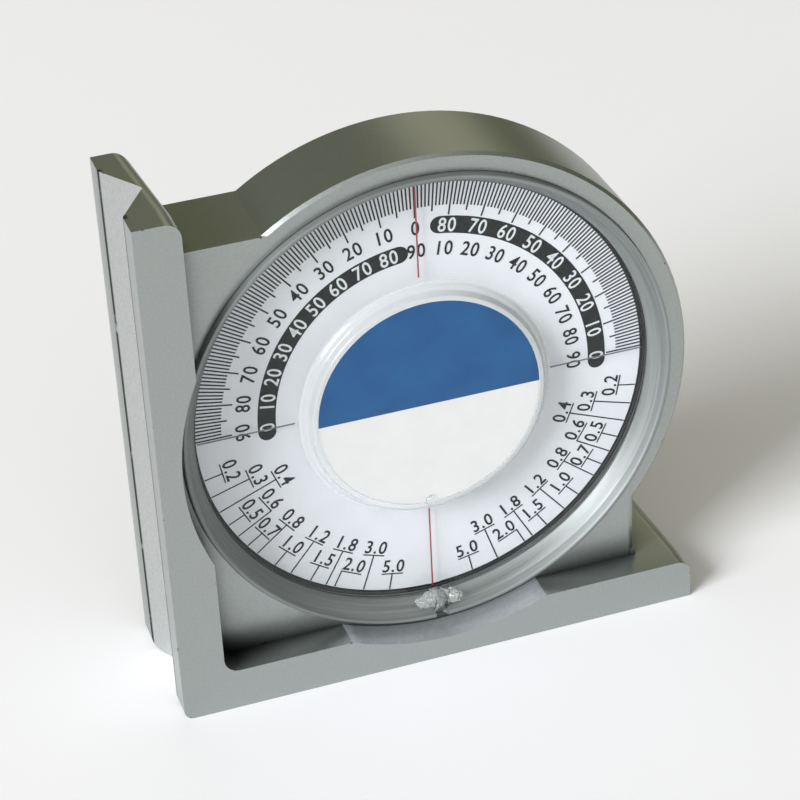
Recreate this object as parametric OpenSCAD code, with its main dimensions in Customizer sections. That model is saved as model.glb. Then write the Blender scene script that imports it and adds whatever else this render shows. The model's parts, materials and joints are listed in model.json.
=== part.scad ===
// Gravity-dial inclinometer: a cast L-shaped frame with a drum that holds a sealed clear capsule.
// A weighted dial hangs on a spindle inside the capsule, and is read against lines on its window.
// Depths are counted from the front faces of the rails towards the back.

/* [Frame casting] */
// Depth of both rails, front to back
rail_depth = 30; // [28:0.5:36]
// Thickness of the rails at the front
rail_front_t = 8.6; // [8:0.1:10]
// Thickness of the rails at the back
rail_back_t = 6.9; // [6.6:0.1:7.8]
// How far the base rail stops short of the drum's side
base_setback = 1; // [0:0.25:3]
// How far the body's front face lies behind the rails' front
face_recess = 6.2; // [5:0.1:7]
// Height of the body's flat top above the dial axis
web_rise = 42; // [36:0.1:46]
// Reach of the body's side face beyond the dial axis
web_reach = 41; // [36:0.1:46]
// Width of the V groove in the side rail
vee_w = 18.5; // [14:0.25:20]
// Depth of the V groove
vee_depth = 5.8; // [4:0.1:6]
// Least metal between the V groove and the bore
vee_wall = 1.3; // [1:0.1:3]
// Rounding of the rails' end corners
end_r = 3; // [1.5:0.25:4]
// Rounding of the outer corner where the rails meet
heel_r = 2; // [0.5:0.25:3]
// Fillet in the inner corners
inner_r = 3; // [1:0.25:4]
// Rounding of the body's upright edge
web_edge_r = 1.4; // [0.5:0.1:2]
// Wall of the drum round the window's rim
drum_wall = 3.5; // [2.5:0.1:5]
// Thickness of the drum's floor
drum_floor_t = 2; // [1.6:0.1:3]
// Height of the raised ring round the drum's floor
back_lip = 0.6; // [0.4:0.1:1.2]
// Width of that ring
back_lip_w = 6; // [3:0.5:9]
// Chamfer on the drum's edges
drum_edge = 0.6; // [0.2:0.1:1]
// Room between the capsule's rim and the round relief in the rails
relief_gap = 1.5; // [0.8:0.1:2.5]

/* [Capsule] */
// How far the window's rim stands in front of the body's face
rim_proud = 1.6; // [0.8:0.1:2.4]
// Thickness of the flange that rests on the drum's shoulder
flange_t = 3.8; // [3:0.1:4.2]
// How far the flange stands out past the capsule's wall
flange_w = 1.4; // [1.2:0.1:2.4]
// Depth of the window behind the rim
window_sink = 4.4; // [3.6:0.1:5]
// Thickness of the window
window_t = 2; // [1.6:0.1:2.6]
// Width of the flat on top of the rim
rim_flat = 0.8; // [0.4:0.1:1.2]
// Width of the sloped inside of the rim
rim_slope_w = 2; // [1.2:0.1:2.2]
// Wall of the capsule
capsule_wall = 1.3; // [1.2:0.1:2.4]
// Length of the window's skirt behind the window
skirt_l = 2.3; // [1.8:0.1:3]
// Thickness of the capsule's floor
cup_floor_t = 2; // [1.6:0.1:3]
// Thickness of the gasket between window and cup
gasket_t = 0.5; // [0.3:0.1:1]
// Thickness of the pad between capsule and drum
pad_t = 0.4; // [0.3:0.1:1]
// Width of the pad
pad_w = 8; // [4:0.5:9]
// Gap round the capsule in the drum
capsule_gap = 0.2; // [0.15:0.05:0.3]

/* [Label boss] */
// Radius of the round label
label_r = 21.7; // [18:0.1:23]
// Thickness of the label
label_t = 0.2; // [0.1:0.05:0.4]
// How far the boss rises from the window
boss_rise = 2.5; // [1.8:0.1:3.5]
// Depth of the label's seat below the boss's lip
label_sink = 0.5; // [0.4:0.05:0.8]
// Width of the boss's lip
boss_lip_w = 1; // [0.6:0.1:1.6]
// Width of the boss's sloped side
boss_slope_w = 1.8; // [1:0.1:2.4]
// Wall of the boss
boss_wall = 1.6; // [1.2:0.1:2]

/* [Dial] */
// Radius of the dial
dial_r = 44.5; // [40:0.25:48]
// Running gap round the dial's edge
dial_edge_gap = 0.5; // [0.5:0.05:1.2]
// Gap between the window and the printed face
dial_front_gap = 1.2; // [1:0.05:1.6]
// Thickness of the dial plate
dial_t = 0.6; // [0.5:0.05:1]
// Thickness of the printed film
film_t = 0.1; // [0.05:0.05:0.2]
// Height of the print on the film
ink_t = 0.05; // [0.03:0.01:0.08]
// Width of the black ring at the dial's edge
edge_ring_w = 0.5; // [0.3:0.05:0.8]
// Degrees from one fine line to the next
fine_pitch = 1; // [1:1:5]
// Width of the fine lines
fine_line_w = 0.3; // [0.2:0.02:0.4]
// Length of the fine lines
fine_line_l = 5; // [3:0.1:5.2]
// Extra length of the lines at each 5 degrees
five_extra = 1.1; // [0.5:0.1:1.6]
// Extra length of the lines at each 10 degrees
ten_extra = 2; // [1:0.1:2.2]
// Distance from the dial's edge to the middle of the outer figures
outer_figures_in = 9.5; // [9.3:0.1:9.8]
// Distance from the dial's edge to the middle of the inner figures
inner_figures_in = 14.2; // [13.4:0.1:14.5]
// Width of the dark bands behind the light figures
band_w = 3.5; // [2.6:0.1:3.8]
// Width of the gradient lines and bars
slope_line_w = 0.26; // [0.15:0.01:0.3]
// Length of the bar under a gradient figure
slope_bar_l = 4.4; // [3:0.1:4.6]
// Distance from the dial's edge to the first row of gradient bars
slope_row_in = 4.2; // [3.8:0.1:5]
// Distance from one row of gradient bars to the next
slope_row_step = 4.3; // [3.6:0.05:4.4]

/* [Balance] */
// Thickness of the counterweight
weight_t = 3; // [2:0.1:4]
// Outer radius of the counterweight
weight_r = 40; // [36:0.25:42]
// Radial width of the counterweight
weight_w = 14; // [10:0.25:18]
// Half of the counterweight's spread, in degrees
weight_half_angle = 48; // [30:1:60]
// Radius of the rivets
rivet_r = 1.5; // [1:0.1:2]
// Radius of the rivet heads
rivet_head_r = 2.6; // [2.2:0.1:3.4]
// Height of the rivet heads
rivet_head_t = 0.8; // [0.6:0.1:1.2]
// Angle of each rivet from the lowest point, in degrees
rivet_angle = 30; // [15:1:36]

/* [Spindle] */
// Radius of the spindle
spindle_r = 1.25; // [1:0.05:1.6]
// Radius of the pivots at its ends
pivot_r = 0.5; // [0.4:0.05:0.6]
// Depth of the pivots in their jewels
pivot_in = 1; // [0.7:0.1:1.2]
// Radial running clearance of the pivots
pivot_clear = 0.03; // [0.02:0.01:0.06]
// End play at each end of the spindle
end_play = 0.1; // [0.05:0.05:0.2]
// Gap between the spindle's shoulders and the jewels
shoulder_gap = 0.2; // [0.15:0.05:0.3]
// Radius of the jewels
jewel_r = 2; // [1.6:0.1:2.6]
// Length of the jewels
jewel_l = 1.5; // [1.3:0.1:1.8]
// Wall round the jewels
jewel_wall = 2; // [1.2:0.1:3]
// Radius of the hub where it passes through the dial
hub_r = 3; // [2.4:0.1:4]
// Radius of the hub's flange
hub_flange_r = 6; // [5:0.1:8]
// Thickness of the hub's flange
hub_flange_t = 1; // [0.8:0.1:1.6]
// Length of the hub's sleeve behind the flange
hub_sleeve_l = 2.4; // [1:0.1:3]
// Thickness of the washer that holds the dial on the hub
washer_t = 0.4; // [0.3:0.05:0.5]
// Width of that washer
washer_w = 2.2; // [1.2:0.1:3]
// Clearance of pressed and glued seats
seat_clear = 0.03; // [0.02:0.01:0.05]

/* [Index lines] */
// Width of the index lines
index_w = 0.3; // [0.2:0.05:0.4]
// Thickness of their paint
index_t = 0.05; // [0.03:0.01:0.08]
// Gap between the boss and the index lines
index_boss_gap = 0.6; // [0.3:0.1:2]
// Gap between the dial's edge and the index lines' outer ends
index_edge_gap = 0.6; // [0.3:0.1:2]

/* [Filler] */
// Radius of the filler plug
plug_r = 1.25; // [0.9:0.05:1.3]
// Tilt of the plug, its inner end towards the axis
plug_tilt = 32; // [25:1:36]
// Length of the plug
plug_l = 4.4; // [3.6:0.1:4.8]
// How far the plug stands out of the middle of the rim's slope
plug_out = 1.4; // [0.8:0.1:1.6]
// Radius of the bead of sealant round the plug
sealant_r = 4.3; // [3.4:0.1:4.6]
// Height of that bead in front of the rim
sealant_h = 0.7; // [0.4:0.1:1]

/* [Screws] */
// Number of screws that draw the capsule into the drum
screw_count = 3; // [2:1:4]
// Distance of the screws from the inside of the capsule's wall
screw_in = 10.7; // [9.8:0.1:18]
// Radius of the screw thread
screw_r = 1.1; // [0.9:0.05:1.3]
// Radius of the screw head
screw_head_r = 2.2; // [1.9:0.1:2.6]
// Height of the countersunk head
screw_head_t = 1.2; // [0.9:0.1:1.4]
// Width of the cross in the screw head
cross_w = 0.5; // [0.4:0.05:0.7]
// Depth of the cross
cross_depth = 0.6; // [0.4:0.05:0.8]
// Depth of the screws in their posts
screw_bite = 3.3; // [2.6:0.1:3.4]
// Radius of the posts inside the capsule
post_r = 3.4; // [2.8:0.1:4.4]
// Height of those posts above the capsule's floor
post_h = 2.4; // [2.1:0.1:3]
// Gap between the posts and the rivets that pass them
post_gap = 0.7; // [0.5:0.05:1.2]

/* [Hidden] */

// Faces of the curved surfaces
$fn = 96;
// Extra length of every cutting tool, so that it passes the face that it cuts
over = 1;

// Radii, from the dial outwards
chamber_r = dial_r + dial_edge_gap;
capsule_r = chamber_r + capsule_wall;
flange_r = capsule_r + flange_w;
bore_r = capsule_r + capsule_gap;
mouth_r = flange_r + capsule_gap;
relief_r = flange_r + relief_gap;
drum_r = mouth_r + drum_wall;
window_r = flange_r - rim_flat - rim_slope_w;
screw_ring_r = chamber_r - screw_in;

// The dial axis stands as far from the base as from the side rail's face
axis_in = bore_r + vee_depth + vee_wall;
overall = axis_in + drum_r;
base_l = overall - base_setback;
web_top = axis_in + web_rise;
web_side = axis_in + web_reach;

// Depths, from the front backwards
rim_y = face_recess - rim_proud;
seat_y = rim_y + flange_t;
window_y = rim_y + window_sink;
window_back_y = window_y + window_t;
seam_y = window_back_y + skirt_l;
boss_y = window_y - boss_rise;
label_seat_y = boss_y + label_sink;
label_y = label_seat_y - label_t;
film_y = window_back_y + dial_front_gap;
dial_y = film_y + film_t;
dial_back_y = dial_y + dial_t;
weight_back_y = dial_back_y + weight_t;
post_y = weight_back_y + rivet_head_t + post_gap;
cup_floor_y = post_y + post_h;
cup_back_y = cup_floor_y + cup_floor_t;
drum_floor_y = cup_back_y + pad_t;
drum_back_y = drum_floor_y + drum_floor_t;
body_back_y = drum_back_y + back_lip;

// Spindle and its bearings
boss_back_y = label_seat_y + boss_wall;
front_jewel_y = window_back_y - shoulder_gap - jewel_l;
rear_jewel_y = cup_floor_y - jewel_l;
spindle_front_y = front_jewel_y + jewel_l + shoulder_gap;
spindle_back_y = rear_jewel_y - shoulder_gap;
jewel_hole_l = pivot_in + end_play;
pivot_l = pivot_in + shoulder_gap;
hub_bore_r = spindle_r + seat_clear;
washer_y = film_y - washer_t;

// Boss round the label
boss_r = label_r + seat_clear + boss_lip_w;
boss_foot_r = boss_r + boss_slope_w;

// Print on the dial
ink_y = film_y - ink_t;
// Gap between two printed parts
print_gap = 0.1;
print_r = dial_r - edge_ring_w;
fine_in_r = print_r - fine_line_l;
outer_figures_r = dial_r - outer_figures_in;
inner_figures_r = dial_r - inner_figures_in;
// Ends of the bands behind the light figures, clockwise from the top
outer_band_from = 7.5;
outer_band_to = 91.8;
inner_band_from = -92;
inner_band_to = -6.2;
// Small step from a band's side to its round end
band_end_step = 0.03;
// Gradients on the lower half, by the row that holds their figure. The second number is the
// bar's place on its line: 0 for the middle, 1 where it stands above the line, -1 below it
outer_row_slopes = [[0.2, 0], [0.5, 0], [0.7, 0], [1.0, 0], [1.5, 0], [2.0, -1], [5.0, 0]];
middle_row_slopes = [[0.3, 0], [0.6, 1], [0.8, 0], [1.2, 0], [1.8, 0], [3.0, 0]];
inner_row_slopes = [[0.4, 0]];

// Middle of the sloped inside of the rim, where the filler plug goes in
plug_in_r = window_r + rim_slope_w / 2;
plug_in_y = rim_y + window_sink / 2;

taper = atan((rail_front_t - rail_back_t) / (rail_depth - face_recess));

silver = [0.66, 0.68, 0.67];
clear_plastic = [0.85, 0.9, 0.92, 0.35];
off_white = [0.92, 0.92, 0.9];
ink_black = [0.13, 0.14, 0.15];
brass = [0.78, 0.64, 0.35];
steel = [0.75, 0.76, 0.78];
ruby = [0.65, 0.1, 0.2];
label_blue = [0.16, 0.4, 0.63];
signal_red = [0.6, 0.16, 0.2];
line_grey = [0.35, 0.36, 0.38];

// Puts the front lower outer corner at the left, so that the base's centre is the origin
module in_frame() {
    translate([-overall / 2, -rail_depth / 2, 0]) children();
}

// Children's z runs backwards along the dial axis, from the rails' front
module on_axis() {
    in_frame() translate([axis_in, 0, axis_in]) rotate([-90, 0, 0]) children();
}

// Turns children whose x points outwards to a place clockwise from the top, as seen from the front
module at_clock(degrees) {
    rotate([0, 0, degrees - 90]) children();
}

module ring(outer_r, inner_r, from_y, to_y) {
    translate([0, 0, from_y]) linear_extrude(to_y - from_y) difference() {
        circle(outer_r);
        circle(inner_r);
    }
}

module disc(radius, from_y, to_y) {
    translate([0, 0, from_y]) cylinder(r = radius, h = to_y - from_y);
}

// Cuts the rounding of an edge that runs along +z at the origin, with the solid towards -x and -y
module edge_cutter(radius, length) {
    translate([0, 0, -over]) linear_extrude(length + 2 * over) difference() {
        translate([-radius, -radius]) square(radius + over);
        translate([-radius, -radius]) circle(radius);
    }
}

// The same along +y, with the solid towards -x and -z
module edge_cutter_y(radius, length) {
    translate([0, length, 0]) rotate([90, 0, 0]) edge_cutter(radius, length);
}

// Fills an inner corner that runs along +y at the origin, open towards +x and +z
module corner_fill_y(radius, length) {
    translate([0, length, 0]) rotate([90, 0, 0]) linear_extrude(length) difference() {
        translate([-over, -over]) square(radius + over);
        translate([radius, radius]) circle(radius);
    }
}

// Section of a rail, its outer face along y
module rail_section() {
    polygon([
        [0, 0], [rail_front_t, 0], [rail_front_t, face_recess],
        [rail_back_t, rail_depth], [0, rail_depth]
    ]);
}

module vee_section() {
    half = vee_w / 2 * (1 + over / vee_depth);
    middle = rail_depth / 2;
    polygon([[-over, middle - half], [vee_depth, middle], [-over, middle + half]]);
}

module side_rail() {
    difference() {
        linear_extrude(overall) rail_section();
        translate([rail_back_t, rail_depth, 0]) edge_cutter(end_r, overall);
        translate([rail_front_t, -over, overall]) edge_cutter_y(end_r, face_recess);
        translate([rail_front_t, face_recess, overall])
            rotate([0, 0, taper]) edge_cutter_y(end_r, rail_depth);
    }
}

module base_rail() {
    difference() {
        rotate([90, 0, 90]) linear_extrude(base_l) mirror([1, -1, 0]) rail_section();
        rotate([90, 0, 90]) translate([rail_depth, rail_back_t, 0]) edge_cutter(end_r, base_l);
        translate([base_l, -over, rail_front_t]) edge_cutter_y(end_r, face_recess);
        translate([base_l, face_recess, rail_front_t])
            rotate([-taper, 0, 0]) edge_cutter_y(end_r, rail_depth);
    }
}

// The flat body beside and below the drum
module web() {
    depth = body_back_y - face_recess;
    translate([rail_back_t - over, face_recess, rail_back_t - over]) {
        cube([axis_in - rail_back_t + over, depth, web_top - rail_back_t + over]);
        difference() {
            cube([web_side - rail_back_t + over, depth, axis_in - rail_back_t + over]);
            translate([web_side - rail_back_t + over, 0, 0])
                mirror([0, 1, 0]) edge_cutter(web_edge_r, overall);
        }
    }
    translate([web_side, face_recess, rail_back_t]) corner_fill_y(inner_r, depth);
    translate([rail_back_t, face_recess, web_top]) corner_fill_y(inner_r, depth);
}

module drum_body() {
    rotate_extrude() polygon([
        [0, face_recess], [drum_r - drum_edge, face_recess], [drum_r, face_recess + drum_edge],
        [drum_r, body_back_y - drum_edge], [drum_r - drum_edge, body_back_y], [0, body_back_y]
    ]);
}

// Everything that is turned out of the casting round the dial axis
module drum_bores() {
    disc(relief_r, -over, face_recess);
    disc(mouth_r, face_recess - over, seat_y);
    disc(bore_r, seat_y - over, drum_floor_y);
    disc(drum_r - back_lip_w, drum_back_y, body_back_y + over);
    for (i = [0 : screw_count - 1]) at_clock(i * 360 / screw_count) translate([screw_ring_r, 0, 0]) {
        disc(screw_r + capsule_gap, drum_floor_y - over, drum_back_y + over);
        translate([0, 0, drum_back_y - screw_head_t])
            cylinder(r1 = screw_r + capsule_gap, r2 = screw_head_r + capsule_gap, h = screw_head_t);
    }
}

// Cast frame: base rail, grooved side rail, body and drum
module frame() {
    color(silver) difference() {
        union() {
            in_frame() difference() {
                union() {
                    side_rail();
                    base_rail();
                    translate([rail_front_t, 0, rail_front_t]) corner_fill_y(inner_r, face_recess + over);
                }
                rotate([0, 180, 0]) edge_cutter_y(heel_r, rail_depth);
            }
            in_frame() web();
            on_axis() drum_body();
        }
        in_frame() translate([0, 0, -over]) linear_extrude(overall + 2 * over) vee_section();
        on_axis() drum_bores();
    }
}

// Slanted channel for the filler plug, from the sloped inside of the rim into the chamber
module plug_channel(radius, from_l, to_l) {
    at_clock(180) translate([plug_in_r, 0, plug_in_y]) rotate([0, -plug_tilt, 0])
        translate([0, 0, from_l]) cylinder(r = radius, h = to_l - from_l);
}

module window_body() {
    rotate_extrude() polygon([
        [0, label_seat_y], [label_r + seat_clear, label_seat_y], [label_r + seat_clear, boss_y],
        [boss_r, boss_y], [boss_foot_r, window_y], [window_r, window_y], [window_r + rim_slope_w, rim_y],
        [flange_r, rim_y], [flange_r, seat_y], [capsule_r, seat_y], [capsule_r, seam_y],
        [chamber_r, seam_y], [chamber_r, window_back_y], [label_r - boss_wall, window_back_y],
        [label_r - boss_wall, boss_back_y], [0, boss_back_y]
    ]);
}

// Clear window with its rim, skirt and label boss, moulded in one
module capsule_window() {
    color(clear_plastic) on_axis() difference() {
        union() {
            window_body();
            disc(jewel_r + jewel_wall, boss_back_y - over / 2, window_back_y);
        }
        disc(jewel_r + seat_clear, front_jewel_y, window_back_y + over);
        plug_channel(plug_r + seat_clear, -window_sink, window_sink * 2);
    }
}

// Rear half of the capsule, with a post for the rear jewel and one for each screw
module capsule_cup() {
    color(off_white) on_axis() difference() {
        union() {
            rotate_extrude() polygon([
                [0, cup_floor_y], [chamber_r, cup_floor_y], [chamber_r, seam_y + gasket_t],
                [capsule_r, seam_y + gasket_t], [capsule_r, cup_back_y], [0, cup_back_y]
            ]);
            disc(jewel_r + jewel_wall, rear_jewel_y, cup_floor_y + over / 2);
            for (i = [0 : screw_count - 1]) at_clock(i * 360 / screw_count) translate([screw_ring_r, 0, 0])
                disc(post_r, post_y, cup_floor_y + over / 2);
        }
        disc(jewel_r + seat_clear, rear_jewel_y - over, cup_floor_y);
        for (i = [0 : screw_count - 1]) at_clock(i * 360 / screw_count) translate([screw_ring_r, 0, 0])
            disc(screw_r + seat_clear, cup_back_y - screw_bite - end_play, cup_back_y + over);
    }
}

// Black gasket between window and cup
module capsule_gasket() {
    color(ink_black) on_axis() ring(capsule_r, chamber_r, seam_y, seam_y + gasket_t);
}

// Foam pad between the capsule and the drum's floor
module capsule_pad() {
    color([0.25, 0.26, 0.27]) on_axis() ring(capsule_r, capsule_r - pad_w, cup_back_y, drum_floor_y);
}

// Countersunk screws from the back
module capsule_screws() {
    color(steel) on_axis() for (i = [0 : screw_count - 1])
        at_clock(i * 360 / screw_count) translate([screw_ring_r, 0, 0]) difference() {
            union() {
                disc(screw_r, cup_back_y - screw_bite, drum_back_y - screw_head_t);
                translate([0, 0, drum_back_y - screw_head_t])
                    cylinder(r1 = screw_r, r2 = screw_head_r, h = screw_head_t);
            }
            for (turn = [0, 90]) rotate([0, 0, turn])
                translate([-screw_r, -cross_w / 2, drum_back_y - cross_depth])
                    cube([2 * screw_r, cross_w, cross_depth + over]);
        }
}

// Plug in the hole through which the capsule is filled
module filler_plug() {
    color([0.3, 0.33, 0.33]) on_axis() plug_channel(plug_r, -plug_out, plug_l - plug_out);
}

// Bead of clear sealant over the plug's edge
module filler_sealant() {
    color([0.88, 0.9, 0.9, 0.6]) on_axis() difference() {
        intersection() {
            at_clock(180) translate([plug_in_r, 0, rim_y + sealant_r - sealant_h]) sphere(sealant_r);
            disc(flange_r, rim_y - sealant_r, window_y);
        }
        rotate_extrude() polygon([
            [0, window_y], [window_r, window_y], [window_r + rim_slope_w, rim_y], [flange_r + over, rim_y],
            [flange_r + over, cup_back_y], [0, cup_back_y]
        ]);
        plug_channel(plug_r, -sealant_r * 2, plug_l);
    }
}

// Round sticker in the boss
module centre_label() {
    color(off_white) on_axis() disc(label_r, label_y, label_seat_y);
}

// Coloured upper half of the sticker
module centre_label_field() {
    color(label_blue) on_axis() translate([0, 0, label_y - ink_t]) linear_extrude(ink_t) difference() {
        circle(label_r);
        translate([-label_r - over, 0]) square([2 * (label_r + over), label_r + over]);
    }
}

// One painted line on the inside of the window
module index_line(degrees) {
    from_r = boss_foot_r + index_boss_gap;
    to_r = dial_r - index_edge_gap;
    on_axis() at_clock(degrees) translate([from_r, -index_w / 2, window_back_y])
        cube([to_r - from_r, index_w, index_t]);
}

module index_line_top() {
    color(signal_red) index_line(0);
}

module index_line_bottom() {
    color(signal_red) index_line(180);
}

module index_lines_side() {
    color(line_grey) for (degrees = [90, 270]) index_line(degrees);
}

module front_jewel() {
    color(ruby) on_axis() difference() {
        disc(jewel_r, front_jewel_y, front_jewel_y + jewel_l);
        disc(pivot_r + pivot_clear, front_jewel_y + jewel_l - jewel_hole_l, window_back_y + over);
    }
}

module rear_jewel() {
    color(ruby) on_axis() difference() {
        disc(jewel_r, rear_jewel_y, cup_floor_y);
        disc(pivot_r + pivot_clear, rear_jewel_y - over, rear_jewel_y + jewel_hole_l);
    }
}

// Steel spindle with a fine pivot at each end
module spindle() {
    color(steel) on_axis() {
        disc(spindle_r, spindle_front_y, spindle_back_y);
        disc(pivot_r, spindle_front_y - pivot_l, spindle_front_y + over);
        disc(pivot_r, spindle_back_y - over, spindle_back_y + pivot_l);
    }
}

// Hub that carries the dial on the spindle
module dial_hub() {
    color(brass) on_axis() difference() {
        union() {
            disc(hub_r, washer_y, dial_back_y + hub_flange_t + hub_sleeve_l);
            disc(hub_flange_r, dial_back_y, dial_back_y + hub_flange_t);
        }
        disc(hub_bore_r, washer_y - over, dial_back_y + hub_flange_t + hub_sleeve_l + over);
    }
}

module dial_washer() {
    color(brass) on_axis() ring(hub_r + washer_w, hub_r + seat_clear, washer_y, film_y);
}

// Thin dial plate, with holes for the hub and the rivets
module dial_plate() {
    color(off_white) on_axis() difference() {
        disc(dial_r, dial_y, dial_back_y);
        disc(hub_r + seat_clear, dial_y - over, dial_back_y + over);
        rivets_at() disc(rivet_r + seat_clear, dial_y - over, dial_back_y + over);
    }
}

// White film on the dial plate
module dial_film() {
    color([0.96, 0.96, 0.97]) on_axis() ring(dial_r, hub_r + seat_clear, film_y, dial_y);
}

module radial_line(degrees, from_r, to_r, width) {
    at_clock(degrees) translate([from_r, -width / 2]) square([to_r - from_r, width]);
}

// Degree lines on the upper half and the ring at the dial's edge
module dial_graduations() {
    color(ink_black) on_axis() translate([0, 0, ink_y]) linear_extrude(ink_t) {
        for (degrees = [-90 : fine_pitch : 90]) {
            extra = degrees % 10 == 0 ? ten_extra : degrees % 5 == 0 ? five_extra : 0;
            radial_line(degrees, fine_in_r - extra, print_r + edge_ring_w / 2, fine_line_w);
        }
        difference() {
            circle(dial_r);
            circle(print_r);
        }
    }
}

// Band with round ends, clockwise from one angle to another
module figure_band(radius, from_degrees, to_degrees) {
    middle = (from_degrees + to_degrees) / 2;
    half = (to_degrees - from_degrees) / 2;
    far = 2 * radius;
    intersection() {
        difference() {
            circle(radius + band_w / 2);
            circle(radius - band_w / 2);
        }
        at_clock(middle) polygon([
            [0, 0], [far * cos(half), -far * sin(half)], [far, -far * sin(half)],
            [far, far * sin(half)], [far * cos(half), far * sin(half)]
        ]);
    }
    for (degrees = [from_degrees, to_degrees]) at_clock(degrees)
        translate([radius, 0]) circle(band_w / 2 - band_end_step);
}

// Dark bands behind the light figures
module dial_figure_bands() {
    color(ink_black) on_axis() translate([0, 0, ink_y]) linear_extrude(ink_t) {
        figure_band(outer_figures_r, outer_band_from, outer_band_to);
        figure_band(inner_figures_r, inner_band_from, inner_band_to);
    }
}

// Lines of one row of gradients, on both sides of the lowest point, each with a bar for its figure
module gradient_row(slopes, bar_r) {
    for (slope = slopes) for (side = [-1, 1]) {
        degrees = 180 + side * atan(1 / slope[0]);
        shift = side * slope[1] * (slope_bar_l - slope_line_w) / 2;
        radial_line(degrees, bar_r, print_r - print_gap, slope_line_w);
        at_clock(degrees) translate([bar_r - slope_line_w / 2, shift - slope_bar_l / 2])
            square([slope_line_w, slope_bar_l]);
    }
}

// Gradient lines on the lower half: a run of so many to one
module dial_gradient_lines() {
    outer_row_r = dial_r - slope_row_in;
    color(ink_black) on_axis() translate([0, 0, ink_y]) linear_extrude(ink_t) {
        gradient_row(outer_row_slopes, outer_row_r);
        gradient_row(middle_row_slopes, outer_row_r - slope_row_step);
        gradient_row(inner_row_slopes, outer_row_r - 2 * slope_row_step);
    }
}

// Places children at the middle of each rivet
module rivets_at() {
    for (side = [-1, 1]) at_clock(180 + side * rivet_angle)
        translate([weight_r - weight_w / 2, 0, 0]) children();
}

// Weight that keeps the dial upright
module counterweight() {
    far = 2 * weight_r;
    color(brass) on_axis() difference() {
        translate([0, 0, dial_back_y]) linear_extrude(weight_t) intersection() {
            difference() {
                circle(weight_r);
                circle(weight_r - weight_w);
            }
            at_clock(180) polygon([
                [0, 0], [far * cos(weight_half_angle), -far * sin(weight_half_angle)],
                [far, 0], [far * cos(weight_half_angle), far * sin(weight_half_angle)]
            ]);
        }
        rivets_at() disc(rivet_r + seat_clear, dial_back_y - over, weight_back_y + over);
    }
}

module counterweight_rivets() {
    color(steel) on_axis() rivets_at() {
        disc(rivet_r, dial_y, weight_back_y + rivet_head_t / 2);
        disc(rivet_head_r, weight_back_y, weight_back_y + rivet_head_t);
    }
}

frame();
capsule_window();
capsule_cup();
capsule_gasket();
capsule_pad();
capsule_screws();
filler_plug();
filler_sealant();
centre_label();
centre_label_field();
index_line_top();
index_line_bottom();
index_lines_side();
front_jewel();
rear_jewel();
spindle();
dial_hub();
dial_washer();
dial_plate();
dial_film();
dial_graduations();
dial_figure_bands();
dial_gradient_lines();
counterweight();
counterweight_rivets();
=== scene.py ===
import json
import math

import bpy
from mathutils import Matrix, Vector

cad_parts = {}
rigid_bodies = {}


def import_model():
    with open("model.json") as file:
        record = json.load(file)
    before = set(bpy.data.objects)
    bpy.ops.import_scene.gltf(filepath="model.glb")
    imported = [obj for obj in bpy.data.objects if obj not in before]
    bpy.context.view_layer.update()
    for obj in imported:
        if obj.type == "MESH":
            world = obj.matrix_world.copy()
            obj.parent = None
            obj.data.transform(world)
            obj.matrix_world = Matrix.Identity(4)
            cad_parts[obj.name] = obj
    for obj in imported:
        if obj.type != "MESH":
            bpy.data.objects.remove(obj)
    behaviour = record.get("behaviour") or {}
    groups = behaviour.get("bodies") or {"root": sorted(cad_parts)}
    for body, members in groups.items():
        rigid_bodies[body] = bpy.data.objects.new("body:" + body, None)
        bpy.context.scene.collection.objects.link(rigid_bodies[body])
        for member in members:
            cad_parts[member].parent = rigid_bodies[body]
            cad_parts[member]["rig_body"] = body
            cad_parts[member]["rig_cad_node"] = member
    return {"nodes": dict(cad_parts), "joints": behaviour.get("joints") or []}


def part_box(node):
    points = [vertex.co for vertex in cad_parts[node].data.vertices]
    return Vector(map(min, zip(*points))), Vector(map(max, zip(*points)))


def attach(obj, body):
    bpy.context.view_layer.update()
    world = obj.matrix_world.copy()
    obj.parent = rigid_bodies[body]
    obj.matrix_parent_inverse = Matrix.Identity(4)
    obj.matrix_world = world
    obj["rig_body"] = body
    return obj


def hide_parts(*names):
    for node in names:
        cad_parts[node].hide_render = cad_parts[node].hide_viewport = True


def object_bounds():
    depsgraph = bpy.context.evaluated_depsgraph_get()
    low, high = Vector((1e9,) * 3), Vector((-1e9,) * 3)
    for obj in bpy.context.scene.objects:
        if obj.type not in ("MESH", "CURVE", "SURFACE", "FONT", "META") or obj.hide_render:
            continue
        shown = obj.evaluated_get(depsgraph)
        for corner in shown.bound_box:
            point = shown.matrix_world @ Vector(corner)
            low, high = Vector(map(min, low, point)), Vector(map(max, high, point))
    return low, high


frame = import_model()
cadLow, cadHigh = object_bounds()
nodes = frame["nodes"]
dialAxis = Vector(frame["joints"][0]["pos_m"])  # the dial turns about a line along Y through here
print("frame loaded,", len(nodes), "nodes")


def mm(value):
    return value / 1000


# An sRGB hex code as linear red, green, blue and alpha
def linear(hexCode):
    values = [int(hexCode[i:i + 2], 16) / 255 for i in (0, 2, 4)]
    return [v / 12.92 if v <= 0.04045 else ((v + 0.055) / 1.055) ** 2.4 for v in values] + [1]


# A node with its settings and links. An input is given by its name or its number
def addNode(tree, kind, settings=None, links=None):
    node = tree.nodes.new(kind)
    for name, value in (settings or {}).items():
        if name == "ramp":
            for stop, (position, hexCode) in zip(node.color_ramp.elements, value):
                stop.position = position
                stop.color = linear(hexCode)
        elif isinstance(name, str) and hasattr(node, name):
            setattr(node, name, value)
        else:
            node.inputs[name].default_value = value
    for name, source in (links or {}).items():
        tree.links.new(source, node.inputs[name])
    return node


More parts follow.
